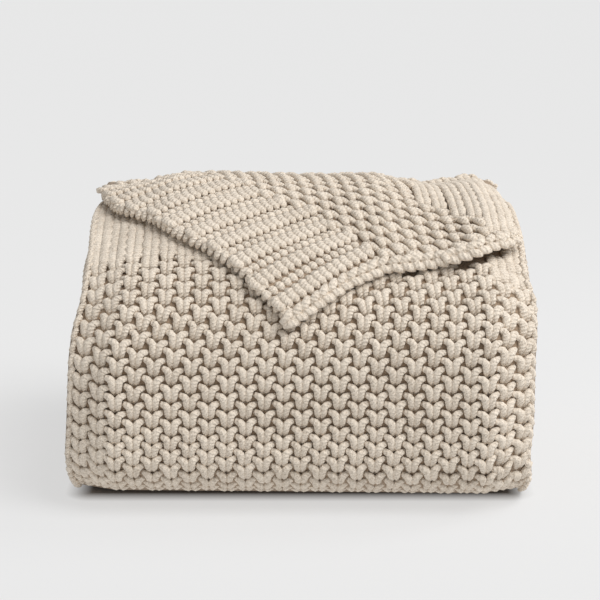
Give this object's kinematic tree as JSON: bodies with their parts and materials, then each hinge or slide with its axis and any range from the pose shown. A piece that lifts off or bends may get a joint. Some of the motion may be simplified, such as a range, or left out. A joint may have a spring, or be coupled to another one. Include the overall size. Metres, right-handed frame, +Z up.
{
  "type": "throw blanket",
  "caption": "Chunky knitted throw folded into a thick rectangular stack, round at the front, with one corner of the cloth turned forward over the top.",
  "frame": {"origin": "middle of the footprint on the surface the folded throw rests on", "axes": "+X across the width, +Y towards the back where the folds are joined, the round front faces -Y, +Z up"},
  "size_m": [0.3818, 0.3186, 0.2459],
  "materials": {
    "knit": "matte chunky knitted yarn, oatmeal beige"
  },
  "bodies": {
    "root": {"throw": "knit"}
  },
  "joints": []
}
